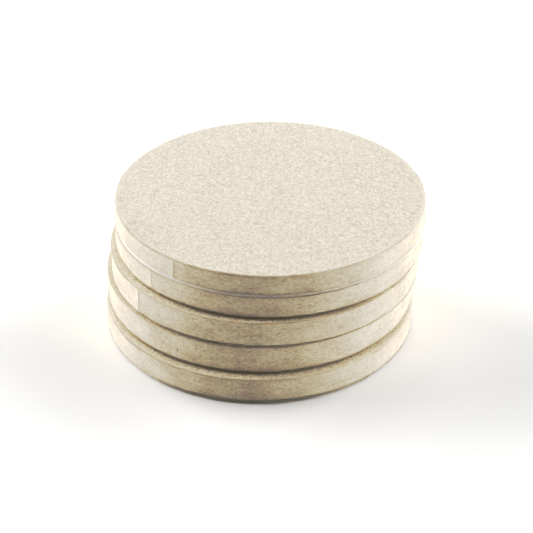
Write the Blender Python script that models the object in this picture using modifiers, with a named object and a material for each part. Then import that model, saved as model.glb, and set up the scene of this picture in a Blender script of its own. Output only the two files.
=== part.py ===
# A stack of felt polishing wheels for lapidary work: thick pressed wool discs with no bore,
# each with an adhesive film and a peel-off liner on its back. They lie back to back and
# face to face, a little out of line with one another.
# Metres, +Z up. The front of the stack faces -Y. The origin is the centre of the bottom
# liner's lower face, which is what the stack stands on.

import math
from collections import namedtuple

import bmesh
import bpy
from mathutils import Matrix

# One disc of the stack: the felt's thickness, the centre's place in plan, whether the
# working face looks up, and where round the rim the knife's start mark is, in degrees
# from the front (-Y) towards +X.
Disc = namedtuple("Disc", "felt_thickness centre face_up mark_angle")

# From the bottom of the stack to the top.
discs = (
    Disc(0.0087, (0.0, 0.0), True, 5.0),
    Disc(0.0097, (0.0002, 0.0028), False, 150.0),
    Disc(0.0081, (0.0016, 0.0025), True, -52.0),
    Disc(0.0075, (0.0031, 0.0042), False, -47.0),
    Disc(0.0065, (0.0035, 0.0050), True, -36.5),
)

disc_diameter = 0.100
working_rim_radius = 0.0016  # the soft, worn-in edge of the polishing face
back_rim_radius = 0.0004  # the crisper edge on the side that the film is bonded to
film_thickness = 0.0001
film_setback = 0.0006  # the adhesive stops this far inside the felt's rim
liner_thickness = 0.00015
liner_setback = 0.0001  # the liner is cut almost flush with the felt
bond_clearance = 0.0001  # between the layers of one disc
rest_clearance = 0.0003  # between a disc and the one that lies on it
mark_depth = 0.0004  # the step that the knife leaves where its round cut closes

steps_round = 72
steps_working_rim = 4
steps_back_rim = 2
cutter_margin = 0.001  # how far a cutter stands out of what it cuts

# Values that follow from the dimensions above.
disc_radius = disc_diameter / 2
film_bottom = liner_thickness + bond_clearance
felt_bottom = film_bottom + film_thickness + bond_clearance


def disc_height(disc):
    return felt_bottom + disc.felt_thickness


def clear_scene():
    for obj in list(bpy.data.objects):
        bpy.data.objects.remove(obj)


def new_collection(name):
    collection = bpy.data.collections.new(name)
    bpy.context.scene.collection.children.link(collection)
    return collection


def new_material(name, colour, roughness):
    material = bpy.data.materials.new(name)
    material.use_nodes = True
    shader = material.node_tree.nodes["Principled BSDF"]
    shader.inputs["Base Color"].default_value = (*colour, 1.0)
    shader.inputs["Roughness"].default_value = roughness
    shader.inputs["Metallic"].default_value = 0.0
    material.diffuse_color = (*colour, 1.0)
    return material


def new_object(name, mesh, collection, material=None, parent=None):
    obj = bpy.data.objects.new(name, mesh)
    collection.objects.link(obj)
    obj.parent = parent
    if material:
        mesh.materials.append(material)
    return obj


def arc(centre_x, centre_z, radius, start, end, steps):
    """Points of an arc in the profile's plane, with its angles in degrees from +X."""
    angles = (math.radians(start + (end - start) * i / steps) for i in range(steps + 1))
    return [
        (centre_x + radius * math.cos(angle), centre_z + radius * math.sin(angle))
        for angle in angles
    ]


def felt_profile(thickness):
    """Half section of the felt from the middle of its working face down to its back."""
    top = felt_bottom + thickness
    working_rim = arc(
        disc_radius - working_rim_radius,
        top - working_rim_radius,
        working_rim_radius,
        90,
        0,
        steps_working_rim,
    )
    back_rim = arc(
        disc_radius - back_rim_radius,
        felt_bottom + back_rim_radius,
        back_rim_radius,
        0,
        -90,
        steps_back_rim,
    )
    return [(0.0, top), *working_rim, *back_rim, (0.0, felt_bottom)]


def turned_mesh_object(name, profile, collection, material, parent):
    """A closed solid that a Screw modifier turns from a profile on the axis."""
    mesh = bpy.data.meshes.new(name)
    corners = [(x, 0.0, z) for x, z in profile]
    mesh.from_pydata(corners, [(i, i + 1) for i in range(len(corners) - 1)], [])
    obj = new_object(name, mesh, collection, material, parent)
    screw = obj.modifiers.new("turn", "SCREW")
    screw.axis = "Z"
    screw.angle = math.tau
    screw.steps = steps_round
    screw.render_steps = steps_round
    screw.use_merge_vertices = True
    screw.merge_threshold = 0.00001
    screw.use_smooth_shade = True
    return obj


def layer_mesh_object(name, radius, bottom, thickness, collection, material, parent):
    """A thin round layer, with its lower face at bottom in the disc's own frame."""
    mesh = bpy.data.meshes.new(name)
    shape = bmesh.new()
    bmesh.ops.create_cone(
        shape,
        cap_ends=True,
        segments=steps_round,
        radius1=radius,
        radius2=radius,
        depth=thickness,
        matrix=Matrix.Translation((0.0, 0.0, bottom + thickness / 2)),
    )
    shape.to_mesh(mesh)
    shape.free()
    mesh.shade_smooth()
    mesh.set_sharp_from_angle(angle=math.radians(30))
    return new_object(name, mesh, collection, material, parent)


def mark_cutter(name, disc, bottom, collection):
    """A block that shaves a short flat off the rim, from the start mark anticlockwise.

    The flat is square to the radius at the mark, so the cut is deepest there and runs out
    where the flat meets the round rim.
    """
    run_out = math.sqrt(disc_radius**2 - (disc_radius - mark_depth) ** 2)
    length = run_out + cutter_margin
    depth = mark_depth + cutter_margin
    height = disc_height(disc) + 2 * cutter_margin
    mesh = bpy.data.meshes.new(name)
    shape = bmesh.new()
    size = Matrix.Diagonal((length, depth, height, 1.0))
    place = Matrix.Translation((length / 2, depth / 2 - disc_radius - cutter_margin, 0.0))
    bmesh.ops.create_cube(shape, size=1.0, matrix=place @ size)
    shape.to_mesh(mesh)
    shape.free()
    cutter = new_object(name, mesh, collection)
    cutter.location = (*disc.centre, bottom + disc_height(disc) / 2)
    cutter.rotation_euler = (0.0, 0.0, math.radians(disc.mark_angle))
    cutter.hide_render = True
    cutter.display_type = "WIRE"
    return cutter


def cut(obj, cutter):
    boolean = obj.modifiers.new("knife mark", "BOOLEAN")
    boolean.operation = "DIFFERENCE"
    boolean.solver = "EXACT"
    boolean.object = cutter


def disc_frame(number, disc, bottom, collection):
    """The empty that holds a disc's layers: its z = 0 is the liner's outer face."""
    frame = bpy.data.objects.new(f"disc_{number}_axis", None)
    collection.objects.link(frame)
    if disc.face_up:
        frame.location = (*disc.centre, bottom)
    else:
        frame.location = (*disc.centre, bottom + disc_height(disc))
        frame.rotation_euler = (math.pi, 0.0, 0.0)
    return frame


def build_disc(number, disc, bottom, parts, cutters, felt, adhesive, paper):
    frame = disc_frame(number, disc, bottom, parts)
    layer_mesh_object(
        f"release_liner_{number}",
        disc_radius - liner_setback,
        0.0,
        liner_thickness,
        parts,
        paper,
        frame,
    )
    layer_mesh_object(
        f"adhesive_film_{number}",
        disc_radius - film_setback,
        film_bottom,
        film_thickness,
        parts,
        adhesive,
        frame,
    )
    pad = turned_mesh_object(
        f"felt_disc_{number}", felt_profile(disc.felt_thickness), parts, felt, frame
    )
    # The mark's wall falls in the middle of a facet, clear of the turned rim's corners.
    facet_turn = math.radians(disc.mark_angle + 180 / steps_round)
    pad.rotation_euler = (0.0, 0.0, facet_turn if disc.face_up else -facet_turn)
    cut(pad, mark_cutter(f"knife_mark_{number}", disc, bottom, cutters))


def main():
    clear_scene()
    parts = new_collection("felt_polishing_wheel")
    cutters = new_collection("cutters")
    felt = new_material("wool_felt", (0.76, 0.70, 0.58), 0.95)
    adhesive = new_material("acrylic_adhesive", (0.80, 0.76, 0.60), 0.30)
    paper = new_material("release_paper", (0.88, 0.87, 0.84), 0.45)
    bottom = 0.0
    for number, disc in enumerate(discs, start=1):
        build_disc(number, disc, bottom, parts, cutters, felt, adhesive, paper)
        bottom += disc_height(disc) + rest_clearance


main()
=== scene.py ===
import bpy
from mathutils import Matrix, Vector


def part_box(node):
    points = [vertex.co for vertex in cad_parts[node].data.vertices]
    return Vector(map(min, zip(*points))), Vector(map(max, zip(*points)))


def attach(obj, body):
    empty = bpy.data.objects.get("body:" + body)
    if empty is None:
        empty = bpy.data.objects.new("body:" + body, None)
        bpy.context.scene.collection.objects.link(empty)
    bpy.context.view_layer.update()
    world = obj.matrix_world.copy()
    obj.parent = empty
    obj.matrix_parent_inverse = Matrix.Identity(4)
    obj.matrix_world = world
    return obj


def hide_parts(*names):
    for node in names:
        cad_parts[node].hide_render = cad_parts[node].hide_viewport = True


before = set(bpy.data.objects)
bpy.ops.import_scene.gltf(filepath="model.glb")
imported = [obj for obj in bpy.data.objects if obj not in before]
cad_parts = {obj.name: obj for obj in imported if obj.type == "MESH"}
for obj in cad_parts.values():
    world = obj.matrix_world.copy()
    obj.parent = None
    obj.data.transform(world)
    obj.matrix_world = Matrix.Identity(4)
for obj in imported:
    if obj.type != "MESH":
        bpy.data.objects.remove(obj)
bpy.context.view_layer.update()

import itertools
import math

import bmesh
import bpy
import numpy as np
from mathutils import Vector

mm = 0.001
fullTurn = 2 * math.pi


# the camera, a pale floor and a tent of soft panels
studio = dict(
    aim=(2.24, -39.46, 43.95),  # mm
    eye=(2.24, -548.3, 361.9),
    lens=133.3,
    floorColour=(0.95, 0.95, 0.945),
    backdropColour=(0.945, 0.945, 0.945),
    fillColour=(1.0, 0.93, 0.84),
    fillStrength=0.02,
    burnCentre=(-0.012, -0.022, 0.0),  # metres
    burnOut=(0.048, 0.082),
    burnStrength=0.10,
    toneCurve=((0.14, 0.085), (0.27, 0.175), (0.34, 0.268), (0.40, 0.370), (0.49, 0.50),
               (0.60, 0.615), (0.72, 0.715), (0.82, 0.80), (0.92, 0.895)),
    # the shade is warm, and never quite black between the discs
    shadeTone=dict(
        red=((0, 0.058), (0.15, 0.152), (0.40, 0.395)),
        green=((0, 0.042), (0.15, 0.146), (0.40, 0.39)),
        blue=((0, 0.016), (0.15, 0.138), (0.40, 0.392)),
    ),
)

# each panel: centre, size (mm), point it faces, radiance, colour
softPanels = dict(
    overhead=dict(centre=(0, -100, 900), size=(800, 700), faces=(0, 0, 0), glow=0.80, colour=(1, 1, 1)),
    left=dict(centre=(-950, 180, 330), size=(1300, 700), faces=(0, 0, 60), glow=1.0, colour=(1, 1, 1)),
    right=dict(centre=(950, 180, 330), size=(1300, 700), faces=(0, 0, 60), glow=5.9, colour=(1, 1, 1)),
    leftBack=dict(centre=(-850, 380, 400), size=(1000, 800), faces=(0, 0, 40), glow=6.6, colour=(1, 1, 1)),
    rightBack=dict(centre=(850, 380, 400), size=(1000, 800), faces=(0, 0, 40), glow=0.9, colour=(1, 1, 1)),
)


def makeCamera():
    camera = bpy.data.objects.new("camera", bpy.data.cameras.new("camera"))
    bpy.context.scene.collection.objects.link(camera)
    camera.data.sensor_width = 36
    camera.data.lens = studio["lens"]
    camera.data.clip_start = 0.01
    eye, aim = Vector(studio["eye"]) * mm, Vector(studio["aim"]) * mm
    camera.location = eye
    camera.rotation_euler = (aim - eye).to_track_quat("-Z", "Y").to_euler()
    bpy.context.scene.camera = camera


def makePanels():
    for name, panel in softPanels.items():
        width, height = (side * mm for side in panel["size"])
        light = bpy.data.lights.new(name, "AREA")
        light.shape = "RECTANGLE"
        light.size, light.size_y = width, height
        light.energy = panel["glow"] * math.pi * width * height  # watts for an even radiance
        light.color = panel["colour"]
        lamp = bpy.data.objects.new(name, light)
        bpy.context.scene.collection.objects.link(lamp)
        centre, target = Vector(panel["centre"]) * mm, Vector(panel["faces"]) * mm
        lamp.location = centre
        lamp.rotation_euler = (target - centre).to_track_quat("-Z", "Y").to_euler()
        lamp.visible_camera = False


def makeWorld():
    world = bpy.data.worlds.new("tent")
    bpy.context.scene.world = world
    world.use_nodes = True
    tree = world.node_tree
    tree.nodes.clear()
    out = tree.nodes.new("ShaderNodeOutputWorld")
    fill, seen = tree.nodes.new("ShaderNodeBackground"), tree.nodes.new("ShaderNodeBackground")
    fill.inputs["Color"].default_value = (*studio["fillColour"], 1)
    fill.inputs["Strength"].default_value = studio["fillStrength"]
    seen.inputs["Color"].default_value = (*studio["backdropColour"], 1)
    path, mix = tree.nodes.new("ShaderNodeLightPath"), tree.nodes.new("ShaderNodeMixShader")
    tree.links.new(path.outputs["Is Camera Ray"], mix.inputs["Fac"])
    tree.links.new(fill.outputs["Background"], mix.inputs[1])
    tree.links.new(seen.outputs["Background"], mix.inputs[2])
    tree.links.new(mix.outputs["Shader"], out.inputs["Surface"])


def makeFloor():
    mesh = bpy.data.meshes.new("floor")
    shape = bmesh.new()
    bmesh.ops.create_grid(shape, x_segments=1, y_segments=1, size=2.5)
    shape.to_mesh(mesh)
    shape.free()
    floor = bpy.data.objects.new("floor", mesh)
    bpy.context.scene.collection.objects.link(floor)
    material = bpy.data.materials.new("paleFloor")
    material.use_nodes = True
    shader = material.node_tree.nodes["Principled BSDF"]
    shader.inputs["Base Color"].default_value = (*studio["floorColour"], 1)
    shader.inputs["Roughness"].default_value = 0.85
    shader.inputs["Specular IOR Level"].default_value = 0.2
    # the sweep burns out to white a little way from the stack, as seen by the camera only
    tree = material.node_tree
    where = tree.nodes.new("ShaderNodeTexCoord").outputs["Object"]
    away = tree.nodes.new("ShaderNodeVectorMath")
    away.operation = "DISTANCE"
    away.inputs[1].default_value = studio["burnCentre"]
    tree.links.new(where, away.inputs[0])
    ring, seen, glow = (tree.nodes.new("ShaderNode" + kind) for kind in ("MapRange", "LightPath", "Math"))
    ring.interpolation_type, glow.operation = "SMOOTHSTEP", "MULTIPLY"
    tree.links.new(away.outputs["Value"], ring.inputs["Value"])
    ring.inputs["From Min"].default_value, ring.inputs["From Max"].default_value = studio["burnOut"]
    ring.inputs["To Max"].default_value = studio["burnStrength"]
    tree.links.new(ring.outputs["Result"], glow.inputs[0])
    tree.links.new(seen.outputs["Is Camera Ray"], glow.inputs[1])
    tree.links.new(glow.outputs[0], shader.inputs["Emission Strength"])
    shader.inputs["Emission Color"].default_value = (1, 1, 1, 1)
    mesh.materials.append(material)


def setToneCurve():
    # a print-like curve: deeper shade, gentle highlights
    settings = bpy.context.scene.view_settings
    settings.view_transform = "Standard"
    settings.use_curve_mapping = True
    mapping = settings.curve_mapping
    points = mapping.curves[3].points
    for shade, shown in studio["toneCurve"]:  # in scene-linear light
        points.new(shade, shown)
    for curve, tones in zip(mapping.curves, studio["shadeTone"].values()):
        curve.points[0].location = tones[0]
        for shade, shown in tones[1:]:
            curve.points.new(shade, shown)
    mapping.update()


makeCamera()
makePanels()
makeWorld()
makeFloor()
setToneCurve()
print("stage set: camera, floor,", len(softPanels), "soft panels")


# shader groups that the felt, the loose wool, the film and the paper share
def makeGroup(name, inputs, outputs):
    group = bpy.data.node_groups.new(name, "ShaderNodeTree")
    kinds = dict(value="NodeSocketFloat", colour="NodeSocketColor", vector="NodeSocketVector")
    for label, kind, start in inputs:
        socket = group.interface.new_socket(label, in_out="INPUT", socket_type=kinds[kind])
        if start is not None:
            socket.default_value = start
    for label, kind in outputs:
        group.interface.new_socket(label, in_out="OUTPUT", socket_type=kinds[kind])
    return group, group.nodes.new("NodeGroupInput"), group.nodes.new("NodeGroupOutput")


def addNode(tree, kind, settings=None, **inputs):
    # settings are the node's own properties; inputs are values or sockets,
    # by socket name with _ for spaces, or by number as n0, n1 and so on
    node = tree.nodes.new("ShaderNode" + kind)
    for key, value in (settings or {}).items():
        setattr(node, key, value)
    for key, value in inputs.items():
        byNumber = key[0] == "n" and key[1:].isdigit()
        feed(tree, node, int(key[1:]) if byNumber else key.replace("_", " "), value)
    return node


def feed(tree, node, socket, value):
    if isinstance(value, bpy.types.NodeSocket):
        tree.links.new(value, node.inputs[socket])
    else:
        node.inputs[socket].default_value = value


def mathOf(tree, operation, *values):
    node = tree.nodes.new("ShaderNodeMath")
    node.operation = operation
    for i, value in enumerate(values):
        feed(tree, node, i, value)
    return node.outputs[0]


def stepBetween(tree, value, low, high):
    # 0 below low, 1 above high, smooth between
    node = addNode(tree, "MapRange", dict(interpolation_type="SMOOTHSTEP"),
                   Value=value, From_Min=low, From_Max=high)
    return node.outputs["Result"]


def mixColours(tree, amount, first, second, blend="MIX"):
    node = tree.nodes.new("ShaderNodeMix")
    node.data_type, node.blend_type = "RGBA", blend
    feed(tree, node, 0, amount)
    feed(tree, node, 6, first)
    feed(tree, node, 7, second)
    return node.outputs[2]


def makeStrandGroup():
    # thin strands that lie in level planes and run one way, bent by a slow drift
    group, given, out = makeGroup(
        "woolStrands",
        [("Vector", "vector", None), ("Turn", "value", 0.0), ("Strands per metre", "value", 5000.0),
         ("Fineness", "value", 0.5)],
        [("Strands", "value")],
    )
    drift = addNode(group, "TexNoise", None, Vector=given.outputs["Vector"], Scale=650.0, Detail=1.0)
    bent = addNode(group, "VectorMath", dict(operation="MULTIPLY_ADD"),
                   n0=drift.outputs["Color"], n1=(0.0011, 0.0011, 0.0004), n2=given.outputs["Vector"])
    turned = addNode(group, "VectorRotate", dict(rotation_type="Z_AXIS"),
                     Vector=bent.outputs[0], Angle=given.outputs["Turn"])
    stretched = addNode(group, "VectorMath", dict(operation="MULTIPLY"),
                        n0=turned.outputs[0], n1=(0.09, 1.0, 1.0))
    noise = addNode(group, "TexNoise", None, Vector=stretched.outputs[0],
                    Scale=given.outputs["Strands per metre"], Detail=1.0)
    ridge = mathOf(group, "ABSOLUTE", mathOf(group, "SUBTRACT", noise.outputs["Fac"], 0.5))
    narrow = mathOf(group, "MULTIPLY", given.outputs["Fineness"], 0.2)
    line = mathOf(group, "SUBTRACT", 1.0, stepBetween(group, ridge, 0.0, narrow))
    group.links.new(line, out.inputs["Strands"])
    return group


def makeMottleGroup():
    # slow patches and grain, both about 0, and sparse flecks from 0 to 1
    group, given, out = makeGroup(
        "woolMottle",
        [("Vector", "vector", None), ("Patches per metre", "value", 140.0),
         ("Grain per metre", "value", 1000.0), ("Flecks per metre", "value", 900.0),
         ("Fleck share", "value", 0.1)],
        [("Patches", "value"), ("Grain", "value"), ("Flecks", "value")],
    )
    vector = given.outputs["Vector"]
    patches = addNode(group, "TexNoise", None, Vector=vector, Scale=given.outputs["Patches per metre"],
                      Detail=2.0)
    grain = addNode(group, "TexNoise", None, Vector=vector, Scale=given.outputs["Grain per metre"],
                    Detail=3.0, Roughness=0.62)
    flecks = addNode(group, "TexVoronoi", None, Vector=vector, Scale=given.outputs["Flecks per metre"],
                     Randomness=1.0)
    pick = addNode(group, "SeparateColor", None, Color=flecks.outputs["Color"])
    chosen = mathOf(group, "LESS_THAN", pick.outputs[0], given.outputs["Fleck share"])
    core = mathOf(group, "SUBTRACT", 1.0, stepBetween(group, flecks.outputs["Distance"], 0.12, 0.42))
    group.links.new(mathOf(group, "SUBTRACT", patches.outputs["Fac"], 0.5), out.inputs["Patches"])
    group.links.new(mathOf(group, "SUBTRACT", grain.outputs["Fac"], 0.5), out.inputs["Grain"])
    group.links.new(mathOf(group, "MULTIPLY", chosen, core), out.inputs["Flecks"])
    return group


strandGroup, mottleGroup = makeStrandGroup(), makeMottleGroup()


def useGroup(tree, group, **inputs):
    node = tree.nodes.new("ShaderNodeGroup")
    node.node_tree = group
    for key, value in inputs.items():
        feed(tree, node, key.replace("_", " "), value)
    return node


def crossedStrands(tree, vector, perMetre, fineness, turns):
    # several layers of strands laid over one another; where they cross they pile up
    total = None
    for turn in turns:
        layer = useGroup(tree, strandGroup, Vector=vector, Turn=turn, Strands_per_metre=perMetre,
                         Fineness=fineness)
        total = layer.outputs[0] if total is None else mathOf(tree, "MAXIMUM", total, layer.outputs[0])
    return total


def startMaterial(name):
    material = bpy.data.materials.new(name)
    material.use_nodes = True
    tree = material.node_tree
    shader = tree.nodes["Principled BSDF"]
    vector = tree.nodes.new("ShaderNodeTexCoord").outputs["Object"]
    return material, tree, shader, vector


# the wool's colours, which the felt and the loose fibres share, and the painted shade that darkens the
# felt's hollows
woolFinish = dict(
    pale=(0.87, 0.80, 0.66, 1),
    warm=(0.645, 0.57, 0.45, 1),
    green=(0.635, 0.575, 0.455, 1),
    # painted shade, towards which the felt's hollows are darkened
    hollowShadeColour=(0.38, 0.31, 0.22, 1),
    fleck=(0.30, 0.24, 0.17, 1),
)


def clampedSum(tree, start, *terms):
    # start plus each value times its weight, kept between 0 and 1
    total = start
    for value, weight in terms:
        total = mathOf(tree, "ADD", total, mathOf(tree, "MULTIPLY", value, weight))
    return addNode(tree, "Clamp", None, Value=total).outputs[0]


def makeFeltMaterial():
    material, tree, shader, vector = startMaterial("pressedWool")
    # the first attribute is the painted shade in the hollows, the third the tone beside the knife marks with
    # the painted highlight on face-up rims
    hollowShading, cutSide, knifeToneAndRimHighlight = (addNode(tree, "Attribute", dict(attribute_name=label)).outputs["Fac"]
                                  for label in ("hollowShading", "cutSide", "knifeToneAndRimHighlight"))
    # on the cut side the wool's layers show edge on, so its grain runs level
    layered = addNode(tree, "VectorMath", dict(operation="MULTIPLY"), n0=vector, n1=(0.65, 0.65, 1.4))
    blended = addNode(tree, "Mix", dict(data_type="VECTOR"),
                      n0=cutSide, n4=vector, n5=layered.outputs[0]).outputs[1]
    mottle = useGroup(tree, mottleGroup, Vector=blended, Patches_per_metre=170.0, Grain_per_metre=1350.0,
                      Flecks_per_metre=1500.0, Fleck_share=0.10)
    strands = crossedStrands(tree, vector, 5200.0, 0.5, (0.35, 1.45, 2.5))
    patch = stepBetween(tree, mottle.outputs["Patches"], -0.12, 0.12)
    ground = mixColours(tree, patch, woolFinish["warm"], woolFinish["green"])
    contrast = mathOf(tree, "SUBTRACT", 5.0, mathOf(tree, "MULTIPLY", cutSide, 2.5))
    # the painted rim highlight comes in with the tone beside the knife marks
    paleAmount = clampedSum(tree, 0.42, (mottle.outputs["Grain"], contrast),
                            (mottle.outputs["Patches"], mathOf(tree, "MULTIPLY", cutSide, 1.4)),
                            (strands, 0.15), (knifeToneAndRimHighlight, 0.5))
    colour = mixColours(tree, paleAmount, ground, woolFinish["pale"])
    # painted shade in the hollows
    colour = mixColours(tree, mathOf(tree, "MULTIPLY", hollowShading, 0.35), colour, woolFinish["hollowShadeColour"])
    flecks = mathOf(tree, "MULTIPLY", mottle.outputs["Flecks"], 0.5)
    colour = mixColours(tree, flecks, colour, woolFinish["fleck"])
    tree.links.new(colour, shader.inputs["Base Color"])
    rough = mathOf(tree, "SUBTRACT", 0.97, mathOf(tree, "MULTIPLY", strands, 0.12))
    tree.links.new(rough, shader.inputs["Roughness"])
    height = mathOf(tree, "ADD", mottle.outputs["Grain"], mathOf(tree, "MULTIPLY", strands, 0.4))
    bump = addNode(tree, "Bump", None, Strength=0.7, Distance=0.00015, Height=height)
    tree.links.new(bump.outputs["Normal"], shader.inputs["Normal"])
    shader.inputs["Specular IOR Level"].default_value = 0.15
    shader.inputs["Sheen Weight"].default_value = 0.30
    shader.inputs["Sheen Roughness"].default_value = 0.55
    shader.inputs["Sheen Tint"].default_value = (1.0, 0.98, 0.94, 1)
    shader.inputs["Subsurface Weight"].default_value = 0.12
    shader.inputs["Subsurface Radius"].default_value = (1.0, 0.8, 0.55)
    shader.inputs["Subsurface Scale"].default_value = 0.0012
    return material


def makeLooseWoolMaterial():
    material, tree, shader, vector = startMaterial("looseWool")
    mottle = useGroup(tree, mottleGroup, Vector=vector, Patches_per_metre=200.0, Grain_per_metre=2500.0,
                      Flecks_per_metre=1500.0, Fleck_share=0.04)
    amount = clampedSum(tree, 0.6, (mottle.outputs["Grain"], 2.0))
    colour = mixColours(tree, amount, woolFinish["warm"], woolFinish["pale"])
    flecks = mathOf(tree, "MULTIPLY", mottle.outputs["Flecks"], 0.5)
    colour = mixColours(tree, flecks, colour, woolFinish["fleck"])
    tree.links.new(colour, shader.inputs["Base Color"])
    shader.inputs["Roughness"].default_value = 0.75
    shader.inputs["Specular IOR Level"].default_value = 0.25
    shader.inputs["Sheen Weight"].default_value = 0.25
    shader.inputs["Sheen Roughness"].default_value = 0.5
    return material


def makeFilmMaterial():
    # clear acrylic over wool: straw coloured where it has wetted the fibres, milky between
    material, tree, shader, vector = startMaterial("clearAdhesive")
    mottle = useGroup(tree, mottleGroup, Vector=vector, Patches_per_metre=260.0, Grain_per_metre=900.0,
                      Flecks_per_metre=420.0, Fleck_share=0.10)
    strands = crossedStrands(tree, vector, 3600.0, 0.5, (0.2, 1.7))
    wetted = stepBetween(tree, mottle.outputs["Patches"], -0.25, 0.22)
    colour = mixColours(tree, wetted, (0.82, 0.77, 0.64, 1), (0.73, 0.65, 0.49, 1))
    colour = mixColours(tree, mathOf(tree, "MULTIPLY", strands, 0.35), colour, (0.88, 0.84, 0.72, 1))
    flecks = mathOf(tree, "MULTIPLY", mottle.outputs["Flecks"], 0.5)
    colour = mixColours(tree, flecks, colour, (0.92, 0.90, 0.82, 1))
    tree.links.new(colour, shader.inputs["Base Color"])
    rough = mathOf(tree, "ADD", 0.24, mathOf(tree, "MULTIPLY", wetted, -0.10))
    tree.links.new(rough, shader.inputs["Roughness"])
    height = mathOf(tree, "ADD", mathOf(tree, "MULTIPLY", mottle.outputs["Patches"], 0.8),
                    mathOf(tree, "MULTIPLY", strands, 0.25))
    bump = addNode(tree, "Bump", None, Strength=0.4, Distance=0.00008, Height=height)
    tree.links.new(bump.outputs["Normal"], shader.inputs["Normal"])
    shader.inputs["Coat Weight"].default_value = 0.35
    shader.inputs["Coat Roughness"].default_value = 0.12
    return material


def makePaperMaterial():
    # bleached kraft paper with a thin silicone coat: faint cloudiness and fibres, low sheen
    material, tree, shader, vector = startMaterial("coatedPaper")
    mottle = useGroup(tree, mottleGroup, Vector=vector, Patches_per_metre=320.0, Grain_per_metre=1800.0,
                      Flecks_per_metre=350.0, Fleck_share=0.06)
    strands = crossedStrands(tree, vector, 2600.0, 0.35, (0.1, 0.8, 2.1))
    cloud = clampedSum(tree, 0.5, (mottle.outputs["Patches"], 2.2))
    colour = mixColours(tree, cloud, (0.92, 0.88, 0.81, 1), (0.96, 0.93, 0.88, 1))
    colour = mixColours(tree, mathOf(tree, "MULTIPLY", strands, 0.16), colour, (0.76, 0.69, 0.58, 1))
    flecks = mathOf(tree, "MULTIPLY", mottle.outputs["Flecks"], 0.22)
    colour = mixColours(tree, flecks, colour, (0.62, 0.55, 0.44, 1))
    tree.links.new(colour, shader.inputs["Base Color"])
    rough = mathOf(tree, "ADD", 0.42, mathOf(tree, "MULTIPLY", mottle.outputs["Patches"], 0.25))
    tree.links.new(rough, shader.inputs["Roughness"])
    height = mathOf(tree, "ADD", mathOf(tree, "MULTIPLY", mottle.outputs["Grain"], 0.5),
                    mathOf(tree, "MULTIPLY", strands, 0.3))
    bump = addNode(tree, "Bump", None, Strength=0.3, Distance=0.00004, Height=height)
    tree.links.new(bump.outputs["Normal"], shader.inputs["Normal"])
    return material


def makeBurrMaterial():
    material, tree, shader, vector = startMaterial("driedBurr")
    mottle = useGroup(tree, mottleGroup, Vector=vector, Patches_per_metre=900.0, Grain_per_metre=5000.0,
                      Flecks_per_metre=4000.0, Fleck_share=0.2)
    amount = clampedSum(tree, 0.5, (mottle.outputs["Grain"], 2.5))
    colour = mixColours(tree, amount, (0.17, 0.11, 0.065, 1), (0.34, 0.25, 0.16, 1))
    tree.links.new(colour, shader.inputs["Base Color"])
    bump = addNode(tree, "Bump", None, Strength=0.5, Distance=0.00005, Height=mottle.outputs["Grain"])
    tree.links.new(bump.outputs["Normal"], shader.inputs["Normal"])
    shader.inputs["Roughness"].default_value = 0.7
    return material


finishes = dict(
    felt=makeFeltMaterial(),
    loose=makeLooseWoolMaterial(),
    film=makeFilmMaterial(),
    paper=makePaperMaterial(),
    burr=makeBurrMaterial(),
)
print("finishes made:", ", ".join(finishes))


noiseTables = {}


def softNoise(points, size, seed):
    # smooth lattice noise from -1 to 1, with bumps about size (mm) apart
    if seed not in noiseTables:
        noiseTables[seed] = np.random.default_rng(seed).uniform(-1, 1, 4096)
    table = noiseTables[seed]
    scaled = points / np.asarray(size, float)
    cell = np.floor(scaled).astype(np.int64)
    part = scaled - cell
    part = part * part * (3 - 2 * part)
    total = np.zeros(len(points))
    for corner in itertools.product((0, 1), repeat=3):
        weight = np.prod(np.where(corner, part, 1 - part), axis=1)
        at = cell + corner
        mixed = (at[:, 0] * 73856093) ^ (at[:, 1] * 19349663) ^ (at[:, 2] * 83492791)
        total += weight * table[mixed & 4095]
    return total


def smoothStep(value, low, high):
    t = np.clip((value - low) / (high - low), 0, 1)
    return t * t * (3 - 2 * t)


# The five discs: lengths in mm, angles in degrees from the front (-Y) towards +X.
# rim and back: radius of the polishing face's soft edge and of the back's edge
# faceCurl, backCurl: how far that face draws back towards its edge, and over what width
# flare: how far the cut side spreads towards the back; frayed: how far the two edges fray
# rimGrain: share of the face's lumps that is left at its rim
# liner: how far its edge stands out past the cut size, how much thicker it is outwards, and its ripple
# marks: angle, height of the lip left where the knife's round cut closes, and how wide the lip is
discSettings = {
    1: dict(faceUp=True, rim=0.55, back=0.5, faceCurl=(0.0, 3.0), backCurl=(1.0, 3.5), flare=0.0,
            liner=(-3.2, 0.0, 0.01), marks=[(5, 0.06, 0.6), (27, 0.06, 0.5)],
            rimGrain=0.4, frayed=0.14, seed=11),
    2: dict(faceUp=False, rim=1.1, back=0.3, faceCurl=(0.4, 2.5), backCurl=(0.12, 2.0), flare=0.0,
            liner=(-1.3, 0.0, 0.02), marks=[(150, 0.15, 0.8)], rimGrain=0.4, frayed=0.22, seed=22),
    3: dict(faceUp=True, rim=0.4, back=0.3, faceCurl=(0.0, 3.0), backCurl=(0.12, 2.0), flare=0.0,
            liner=(-1.3, 0.0, 0.02), marks=[(-52, 0.30, 0.9)], rimGrain=0.4, frayed=0.14, seed=33),
    4: dict(faceUp=False, rim=1.1, back=0.12, faceCurl=(0.35, 2.5), backCurl=(0.0, 2.0), flare=0.0,
            liner=(-0.1, 0.0, 0.03), marks=[(-47, 0.20, 0.7)], rimGrain=0.4, frayed=0.22, seed=44),
    5: dict(faceUp=True, rim=0.6, back=0.12, faceCurl=(0.0, 3.0), backCurl=(0.0, 2.0), flare=0.10,
            liner=(0.45, 0.20, 0.04), marks=[(-36.5, 0.20, 0.6)], rimGrain=1.0, frayed=0.20, seed=55),
}

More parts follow.
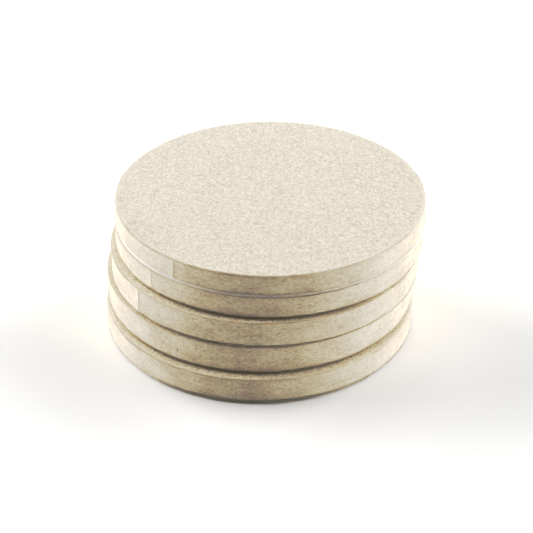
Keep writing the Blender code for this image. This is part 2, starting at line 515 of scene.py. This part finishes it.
feltShape = dict(
    pointsRound=768,      # halved at each halving of the radius
    spacing=0.46,         # between points on the polishing face and the side
    backSpacing=2.4,      # the back lies under the film
    flareHeight=2.4,      # the stretch of the cut side that flares
    filmOverlap=0.06,     # how far the back reaches into the film
    # painted highlight: how much paler the rims of face-up discs are painted
    rimHighlight=1.3,          # how much paler a face-up rim is
)

# the wool's lumps: height and size in mm, and for pits and snags the share of the noise that they start from
feltLumps = dict(
    wave=(0.10, 15),
    tuft=(0.050, 1.7),
    grain=(0.050, 0.85),
    pits=(0.13, 1.15, 0.42),
    layers=(0.045, (4, 4, 0.8)),
    cuts=(0.035, (0.9, 0.9, 0.7)),
    snags=(0.06, (2.2, 2.2, 0.8), 0.45),
    fray=0.62,
    deepest=0.85,
)


class Disc:
    # one disc's place and size, in mm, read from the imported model
    def __init__(self, number):
        self.number = number
        self.settings = discSettings[number]
        linerLow, linerHigh = (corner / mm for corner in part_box(f"release_liner_{number}"))
        filmLow, filmHigh = (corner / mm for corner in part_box(f"adhesive_film_{number}"))
        feltLow, feltHigh = (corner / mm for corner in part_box(f"felt_disc_{number}"))
        self.centre = (linerLow + linerHigh) / 2
        self.up = self.settings["faceUp"]
        # heights are measured from the liner's outer face towards the polishing face
        self.base = linerLow.z if self.up else linerHigh.z
        self.linerTop = linerHigh.z - linerLow.z
        self.filmBottom, self.filmTop = sorted(abs(z - self.base) for z in (filmLow.z, filmHigh.z))
        self.feltBottom, self.feltTop = sorted(abs(z - self.base) for z in (feltLow.z, feltHigh.z))
        self.linerRadius = (linerHigh.x - linerLow.x) / 2
        self.filmRadius = (filmHigh.x - filmLow.x) / 2
        self.radius = round(self.linerRadius + 0.1, 3)
        # the film stops short of an edge that is drawn up, and no more than 0.5 past a short liner
        curlHeight, curlWidth = self.settings["backCurl"]
        shortOf = min(0, self.settings["liner"][0] + 0.5)
        self.bondRadius = self.radius - curlWidth if curlHeight > 0.5 else self.filmRadius + shortOf

    def place(self, points):
        # from the disc's own coordinates (height above the liner's outer face) to the row frame
        x, y, h = points.T
        z = self.base + (h if self.up else -h)
        return np.column_stack((x + self.centre.x, y + self.centre.y, z)) * mm


discs = {number: Disc(number) for number in discSettings}


def crowdedAngles(count, crowds, radius):
    # angles round the disc, closer together near each of the crowds (in degrees)
    fine = np.linspace(-math.pi, math.pi, 40001)
    density = np.ones_like(fine)
    for crowd in crowds:
        away = (fine - math.radians(crowd) + math.pi) % fullTurn - math.pi
        density += 7.0 * np.exp(-((away * radius / 0.7) ** 2))
    total = np.concatenate(([0], np.cumsum((density[1:] + density[:-1]) / 2)))
    return np.interp(np.arange(count) / count * total[-1], total, fine)


def ringCounts(radii, full, rimRadius):
    # how many points each ring has: halved each time the radius halves
    counts = []
    for r in radii:
        n = full
        limit = rimRadius * 0.5
        while r < limit and n > 10:
            n //= 2
            limit *= 0.5
        counts.append(n)
    return counts


def joinRings(firstStart, firstCount, secondStart, secondCount):
    # triangles between two rings, where one may have half the other's points
    if firstCount == secondCount:
        j = np.arange(firstCount)
        k = (j + 1) % firstCount
        a, b, c, d = firstStart + j, firstStart + k, secondStart + k, secondStart + j
        return np.concatenate((np.column_stack((a, b, c)), np.column_stack((a, c, d))))
    if firstCount > secondCount:
        j = np.arange(secondCount)
        k = (j + 1) % secondCount
        f0, f1, f2 = firstStart + 2 * j, firstStart + 2 * j + 1, firstStart + (2 * j + 2) % firstCount
        c0, c1 = secondStart + j, secondStart + k
        fans = ((f0, f1, c0), (f1, c1, c0), (f1, f2, c1))
        return np.concatenate([np.column_stack(fan) for fan in fans])
    return joinRings(secondStart, secondCount, firstStart, firstCount)[:, ::-1]


def drawnBack(r, outer, curl):
    # how far a face has drawn back at this radius
    height, width = curl
    t = np.clip((r - (outer - width)) / width, 0, 1)
    return height * t * t


def roundedProfile(disc):
    # (radius, height, outward share, upward share) down the section, from the polishing face's middle
    shape, settings = feltShape, disc.settings
    rim, back, outer = settings["rim"], settings["back"], disc.radius
    faceCurl, backCurl = settings["faceCurl"], settings["backCurl"]
    top = disc.feltTop - faceCurl[0]
    lip = disc.linerTop + 0.05 + backCurl[0]
    backFace = disc.feltBottom - shape["filmOverlap"]
    section = []
    faceCount = round((outer - rim) / shape["spacing"])
    for r in np.linspace(0, outer - rim, faceCount + 1)[1:]:
        section.append((r, disc.feltTop - drawnBack(r, outer - rim, faceCurl), 0, 1))
    for turn in np.linspace(0, math.pi / 2, 8)[1:]:
        out, up = math.sin(turn), math.cos(turn)
        section.append((outer - rim + rim * out, top - rim + rim * up, out, up))
    sideCount = max(4, round((top - rim - lip - back) / shape["spacing"]))
    flare, flareHeight = settings["flare"], shape["flareHeight"]
    for h in np.linspace(top - rim, lip + back, sideCount + 1)[1:]:
        t = min(1, max(0, (lip + flareHeight - h) / flareHeight))
        section.append((outer + flare * t * t, h, 1, 0))
    for turn in np.linspace(0, math.pi / 2, 5)[1:]:
        out, down = math.cos(turn), math.sin(turn)
        section.append((outer + flare - back + back * out, lip + back - back * down, out, -down))
    inner = disc.bondRadius
    for r in np.linspace(outer + flare - back, inner + 0.06, 5)[1:]:
        section.append((r, lip - backCurl[0] + drawnBack(r, outer - back, backCurl), 0, -1))
    section.append((inner + 0.04, backFace - 0.02, 0.4, -0.9))
    backCount = round(inner / shape["backSpacing"])
    for r in np.linspace(inner - 0.3, 0, backCount + 1)[:-1]:
        section.append((r, backFace, 0, -1))
    return section


def markOffset(angle, marks, radius):
    # where the knife's round cut closes: a slow rise from the left to a ridge, then a drop to its right.
    # Also how much paler (above 0) or darker (below 0) the wool lies on each side of it.
    out, tone = np.zeros_like(angle), np.zeros_like(angle)
    for at, height, width in marks:
        away = ((angle - math.radians(at) + math.pi) % fullTurn - math.pi) * radius
        left = 0.7 * height * np.exp(away / 5.0) + 0.3 * height * np.exp(away / width)
        right = 0.5 * height * np.exp(-away / 2.5)
        out += np.where(away < 0, left, right)
        tone += np.where(away < 0, 2.2 * height * np.exp(away / 4.0), -1.6 * height * np.exp(-away / 6.0))
    return out, np.clip(tone, -1, 1)


def feltRelief(disc, points, outward, upward):
    # the wool's own lumps and hollows, and how deep in a hollow each point is (0 to 1), which sets how much
    # painted shade it gets
    seed = disc.settings["seed"]
    shifted = points + (seed * 7.3, 0, seed * 3.1)
    deepest = feltLumps["deepest"]

    def lumps(name, number):
        height, size = feltLumps[name]
        return height * softNoise(shifted, size, seed + number)

    def hollows(name, number):
        depth, size, start = feltLumps[name]
        return depth * smoothStep(softNoise(shifted, size, seed + number), start, deepest)

    level = np.hypot(points[:, 0], points[:, 1])
    atRim = smoothStep(level, disc.radius - 3.5, disc.radius - 1.5)
    face = (lumps("tuft", 1) + lumps("grain", 2) - hollows("pits", 3))
    face = face * (1 - (1 - disc.settings["rimGrain"]) * atRim)
    side = lumps("layers", 4) + lumps("cuts", 5) - hollows("snags", 6)
    share = np.clip(np.abs(upward), 0, 1)
    small = share * face + (1 - share) * side
    # how deep each point lies in a hollow, for its painted shade
    hollowShading = np.clip(-small / feltLumps["pits"][0], 0, 1)
    # frayed where the face and the cut side meet
    fray = softNoise(shifted, feltLumps["fray"], seed + 7)
    frayed = disc.settings["frayed"] * fray * 2 * outward * np.abs(upward)
    return lumps("wave", 0) * share + small + frayed, hollowShading


def meshFromArrays(name, points, triangles, material):
    mesh = bpy.data.meshes.new(name)
    mesh.vertices.add(len(points))
    mesh.vertices.foreach_set("co", np.ascontiguousarray(points, np.float32).ravel())
    mesh.loops.add(3 * len(triangles))
    mesh.loops.foreach_set("vertex_index", np.ascontiguousarray(triangles, np.int32).ravel())
    mesh.polygons.add(len(triangles))
    mesh.polygons.foreach_set("loop_start", np.arange(0, 3 * len(triangles), 3, dtype=np.int32))
    mesh.polygons.foreach_set("use_smooth", np.ones(len(triangles), bool))
    mesh.update(calc_edges=True)
    mesh.validate()
    mesh.materials.append(material)
    obj = bpy.data.objects.new(name, mesh)
    bpy.context.scene.collection.objects.link(obj)
    return obj


def shellFromSection(disc, section, full, crowds):
    # rings of points swept round the section, closed by a middle point at each end
    radii = [s[0] for s in section]
    counts = ringCounts(radii, full, disc.radius)
    angles = crowdedAngles(full, crowds, disc.radius)
    first, last = section[0], section[-1]
    points = [np.array([[0, 0, first[1]]])]
    outward, upward, starts = [[0.0]], [[1.0]], []
    total = 1
    for (r, h, out, up), n in zip(section, counts):
        a = angles[:: full // n][:n]
        points.append(np.column_stack((r * np.sin(a), -r * np.cos(a), np.full(n, h))))
        outward.append(np.full(n, out, float))
        upward.append(np.full(n, up, float))
        starts.append(total)
        total += n
    points.append(np.array([[0, 0, last[1]]]))
    outward.append([0.0])
    upward.append([-1.0])
    n = counts[0]
    j = np.arange(n)
    triangles = [np.column_stack((np.zeros(n, int), starts[0] + j, starts[0] + (j + 1) % n))]
    for i in range(len(counts) - 1):
        triangles.append(joinRings(starts[i + 1], counts[i + 1], starts[i], counts[i]))
    n = counts[-1]
    j = np.arange(n)
    triangles.append(np.column_stack((np.full(n, total), starts[-1] + (j + 1) % n, starts[-1] + j)))
    return np.concatenate(points), np.concatenate(outward), np.concatenate(upward), np.concatenate(triangles)


def outwardFrom(points):
    # level directions away from the disc's middle
    level = np.hypot(points[:, 0], points[:, 1])
    level = np.where(level < 1e-6, 1, level)
    return np.column_stack((points[:, 0] / level, points[:, 1] / level, np.zeros(len(points))))


def makeFelt(disc):
    marks = disc.settings["marks"]
    crowds = [mark[0] for mark in marks]
    section = roundedProfile(disc)
    points, outward, upward, triangles = shellFromSection(disc, section, feltShape["pointsRound"], crowds)
    level = np.hypot(points[:, 0], points[:, 1])
    away = outwardFrom(points)
    normals = away * outward[:, None] + upward[:, None] * (0, 0, 1)
    relief, hollowShading = feltRelief(disc, points, outward, upward)
    covered = smoothStep(disc.radius - level, 0.4, 1.0) * (upward < -0.3)
    relief = relief * (1 - 0.85 * covered)  # the back is flat under the film
    angle = np.arctan2(points[:, 0], -points[:, 1])
    nearEdge = smoothStep(level, disc.radius - 1.6, disc.radius - 0.2)
    push, tone = markOffset(angle, marks, disc.radius)
    push, tone = push * nearEdge, tone * nearEdge
    if disc.up:
        # painted highlight: the rim of a face-up disc is painted paler, where the light from above catches
        # it
        high = smoothStep(points[:, 2], disc.feltTop - 0.8, disc.feltTop - 0.2)
        wide = smoothStep(level, disc.radius - 1.3, disc.radius - 0.6)
        tone = np.clip(tone + feltShape["rimHighlight"] * high * wide, -1, 1)
    points = points + normals * relief[:, None] + away * push[:, None]
    placed = disc.place(points)
    if not disc.up:
        triangles = triangles[:, ::-1]
    felt = meshFromArrays(f"feltDisc{disc.number}", placed, triangles, finishes["felt"])
    # attributes: painted shade in the hollows, the cut side, and the tone beside the knife marks with the
    # painted rim highlight
    for label, values in (("hollowShading", hollowShading), ("cutSide", 1 - np.abs(upward)), ("knifeToneAndRimHighlight", tone)):
        attribute = felt.data.attributes.new(label, "FLOAT", "POINT")
        attribute.data.foreach_set("value", values.astype(np.float32))
    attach(felt, f"disc_{disc.number}")
    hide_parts(f"felt_disc_{disc.number}")
    return felt


for disc in discs.values():
    felt = makeFelt(disc)
    print(f"felt {disc.number}: {len(felt.data.vertices)} points, {len(felt.data.polygons)} faces")


# loose fibres: how many there are on each disc, and how far they stand up, from 0 to 1
looseWool = dict(
    onFace=(1800, (0.05, 0.35)),
    onRim=(1300, (0.15, 0.8)),
    onBackEdge=(600, (0.2, 0.9)),
    onSide=(1600, (0.05, 0.5)),
    pastRim=(3000, (-0.15, 0.35)),
    pastBack=(2600, (-0.15, 0.35)),
    radius=0.034,
    tuft=2.6,       # how much thicker the fringes' tufts are than a fibre
    length=(0.4, 1.5),
    tuftLength=(0.3, 0.9),
)


def fibreSpots(disc, rng):
    # each fibre's root, its outward normal, how far it stands up, its heading and whether it is a tuft
    settings = disc.settings
    rim, outer = settings["rim"], disc.radius
    top = disc.feltTop - settings["faceCurl"][0]
    lip = disc.linerTop + settings["backCurl"][0]
    spots = []

    def anyAngle(n):
        return rng.uniform(-math.pi, math.pi, n)

    def lay(*columns):
        # angle, radius, height, outward share, upward share and stand of one kind of fibre
        spots.append([np.broadcast_to(column, len(columns[0])) for column in columns])

    n, stand = looseWool["onFace"]
    r = (outer - rim) * np.sqrt(rng.random(n))
    face = disc.feltTop - drawnBack(r, outer - rim, settings["faceCurl"])
    lay(anyAngle(n), r, face, 0.0, 1.0, rng.uniform(*stand, n))

    n, stand = looseWool["onRim"]
    angle = anyAngle(n)
    turn = rng.uniform(0.1, math.pi / 2, n)
    out, up = np.sin(turn), np.cos(turn)
    lay(angle, outer - rim + rim * out, top - rim + rim * up, out, up, rng.uniform(*stand, n))

    n, stand = looseWool["onBackEdge"]
    lay(anyAngle(n), outer - 0.1, lip + rng.uniform(0.05, 0.35, n), 0.8, -0.6, rng.uniform(*stand, n))

    n, stand = looseWool["onSide"]
    angle = anyAngle(n)
    height = lip + 0.2 + (top - rim - lip - 0.2) * rng.random(n) ** 1.3
    lay(angle, outer, height, 1.0, 0.0, rng.uniform(*stand, n))

    headings = [rng.uniform(0, fullTurn, sum(len(spot[0]) for spot in spots))]
    # fringes of tufts that lie along the cut side and reach past its two edges
    fringes = (("pastRim", top - rim, outer, 1), ("pastBack", lip + 0.25, outer + settings["flare"], -1))
    for kind, edge, out, towards in fringes:
        n, stand = looseWool[kind]
        lay(anyAngle(n), out, edge + rng.uniform(-0.35, 0.25, n), 1.0, 0.0, rng.uniform(*stand, n))
        headings.append(towards * rng.normal(math.pi / 2, 0.75, n))
    tufted = [np.full(len(heading), i > 0) for i, heading in enumerate(headings)]
    return [np.concatenate(column) for column in (*zip(*spots), headings, tufted)]


def makeLooseWool(disc):
    rng = np.random.default_rng(disc.settings["seed"] * 101)
    angle, r, h, out, up, stand, heading, tufted = fibreSpots(disc, rng)
    count = len(angle)
    root = np.column_stack((r * np.sin(angle), -r * np.cos(angle), h))
    normal = np.column_stack((np.sin(angle) * out, -np.cos(angle) * out, up))
    along = np.column_stack((np.cos(angle), np.sin(angle), np.zeros(count)))
    across = np.cross(normal, along)
    flat = along * np.cos(heading)[:, None] + across * np.sin(heading)[:, None]
    turned = np.cross(normal, flat)
    shortest, longest = np.where(tufted[:, None], looseWool["tuftLength"], looseWool["length"]).T
    length = shortest + (longest - shortest) * rng.random(count) ** 2.2
    thick = np.where(tufted, looseWool["tuft"] * rng.uniform(0.5, 1.0, count), 1.0)[:, None]
    curl = rng.uniform(-0.9, 0.9, count)
    steps = (0.0, 0.4, 0.75, 1.0)  # three rings of three points each, then the tip
    radii = looseWool["radius"] * np.array([1.0, 0.95, 0.7])
    path = []
    for s in steps:
        forward = flat * (length * s * np.cos(stand * 0.9))[:, None]
        sideways = turned * (length * curl * s * s * 0.5)[:, None]
        rise = normal * (-0.05 + length * stand * (s - 0.45 * s * s) * 1.3)[:, None]
        path.append(root + forward + sideways + rise)
    points, triangles = [], []
    for ring in range(3):
        for corner in np.arange(3) / 3 * fullTurn:
            spread = (turned * math.cos(corner) + normal * math.sin(corner)) * radii[ring] * thick
            points.append(path[ring] + spread)
    points.append(path[3])
    cloud = np.stack(points, axis=1)  # fibre, point, xyz
    if disc.number == 1:
        cloud[:, :, 2] = np.maximum(cloud[:, :, 2], 0.03)  # on the table, not through it
    for ring in range(2):
        for c in range(3):
            d = (c + 1) % 3
            low, high = ring * 3, ring * 3 + 3
            triangles += [(low + c, low + d, high + d), (low + c, high + d, high + c)]
    for c in range(3):
        triangles.append((6 + c, 6 + (c + 1) % 3, 9))
    triangles.append((2, 1, 0))
    pattern = np.array(triangles)
    allTriangles = (pattern[None] + np.arange(count)[:, None, None] * 10).reshape(-1, 3)
    if not disc.up:
        allTriangles = allTriangles[:, ::-1]
    placed = disc.place(cloud.reshape(-1, 3))
    wool = meshFromArrays(f"looseWool{disc.number}", placed, allTriangles, finishes["loose"])
    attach(wool, f"disc_{disc.number}")


for disc in discs.values():
    makeLooseWool(disc)
print("loose wool laid on", len(discs), "discs")


# adhesive films and paper liners
filmShape = dict(pointsRound=240, spacing=2.2, ripple=0.012, ragged=0.0)
linerShape = dict(pointsRound=640, spacing=1.6, ragged=0.16)


def sheetSection(radius, low, high, spacing):
    # section of a thin round sheet with a softened edge, from the middle of its upper face
    edge = (high - low) / 2
    count = round((radius - edge) / spacing)
    section = [(r, high, 0, 1) for r in np.linspace(0, radius - edge, count + 1)[1:]]
    section.append((radius - edge * 0.3, high - edge * 0.3, 0.7, 0.7))
    section.append((radius, (low + high) / 2, 1, 0))
    section.append((radius - edge * 0.3, low + edge * 0.3, 0.7, -0.7))
    section += [(r, low, 0, -1) for r in np.linspace(radius - edge, 0, count + 1)[:-1]]
    return section


def makeSheet(disc, name, section, shape, ripple, seed, material):
    points, outward, upward, triangles = shellFromSection(disc, section, shape["pointsRound"], [])
    flat = points * (1, 1, 0)
    share = np.hypot(points[:, 0], points[:, 1]) / disc.radius
    ragged = share**3 * softNoise(flat, 1.4, seed + 2)
    points[:, :2] *= 1 + shape["ragged"] / disc.radius * ragged[:, None]
    points[:, 2] += ripple * share**3 * (softNoise(flat, 7, seed) + 0.5 * softNoise(flat, 3, seed + 1))
    if not disc.up:
        triangles = triangles[:, ::-1]
    return meshFromArrays(name, disc.place(points), triangles, material)


def makeFilm(disc):
    name, seed = f"adhesiveFilm{disc.number}", disc.settings["seed"] + 60
    section = sheetSection(disc.bondRadius, disc.filmBottom - 0.02, disc.filmTop, filmShape["spacing"])
    film = makeSheet(disc, name, section, filmShape, filmShape["ripple"], seed, finishes["film"])
    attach(film, f"disc_{disc.number}")
    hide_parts(f"adhesive_film_{disc.number}")


def makeLiner(disc):
    name, seed = f"releaseLiner{disc.number}", disc.settings["seed"] + 70
    standOut, thicker, ripple = disc.settings["liner"]
    section = sheetSection(disc.linerRadius + standOut, -thicker, disc.linerTop, linerShape["spacing"])
    liner = makeSheet(disc, name, section, linerShape, ripple, seed, finishes["paper"])
    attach(liner, f"liner_{disc.number}")
    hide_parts(f"release_liner_{disc.number}")


for disc in discs.values():
    makeFilm(disc)
    makeLiner(disc)
print("films and liners made")


# bits of dried burr that stayed in the wool: angle in degrees, height as a share of the disc's, size in mm
burrSpots = [
    dict(name="burrSpeckA", disc=3, angle=-41, height=0.42, size=(0.22, 0.14, 0.17), seed=5),
    dict(name="burrSpeckB", disc=2, angle=-31, height=0.58, size=(0.18, 0.13, 0.22), seed=6),
]


def makeBurr(spot):
    disc = discs[spot["disc"]]
    shape = bmesh.new()
    bmesh.ops.create_icosphere(shape, subdivisions=3, radius=1.0)
    points = np.array([v.co for v in shape.verts])
    triangles = np.array([[v.index for v in f.verts] for f in shape.faces])
    shape.free()
    points = points * (1 + 0.35 * softNoise(points, 0.9, spot["seed"]))[:, None]
    angle = math.radians(spot["angle"])
    out = np.array([math.sin(angle), -math.cos(angle), 0])
    along = np.array([math.cos(angle), math.sin(angle), 0])
    points = points * spot["size"]
    points = points[:, :1] * along + points[:, 1:2] * out + points[:, 2:3] * (0, 0, 1)
    points = points + out * (disc.radius + 0.02) + (0, 0, disc.feltTop * spot["height"])
    if disc.up:
        triangles = triangles[:, ::-1]
    burr = meshFromArrays(spot["name"], disc.place(points), triangles, finishes["burr"])
    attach(burr, f"disc_{disc.number}")


for spot in burrSpots:
    makeBurr(spot)
print("burr specks placed:", len(burrSpots))
